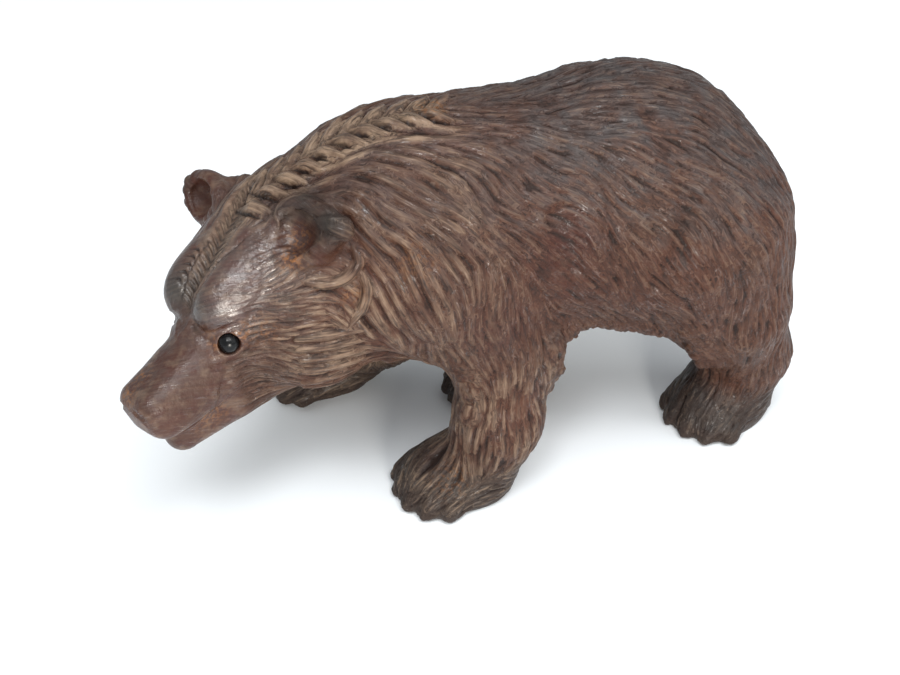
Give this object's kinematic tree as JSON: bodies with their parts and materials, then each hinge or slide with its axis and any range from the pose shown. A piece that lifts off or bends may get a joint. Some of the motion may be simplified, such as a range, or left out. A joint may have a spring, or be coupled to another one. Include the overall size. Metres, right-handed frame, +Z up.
{
  "type": "bear carving",
  "caption": "Walking bear carved from one block of stained limewood, with shiny black glass bead eyes.",
  "frame": {"origin": "under the middle of the carving, on the plane of its four soles", "axes": "+X towards the rump, so the bear walks towards -X; its left side is towards -Y; +Z up"},
  "size_m": [0.2408, 0.1056, 0.1407],
  "materials": {
    "wood": "satin waxed stain",
    "eye": "polished black"
  },
  "bodies": {
    "root": {"bear_carving": "wood", "glass_eye_left": "eye", "glass_eye_right": "eye"}
  },
  "joints": []
}
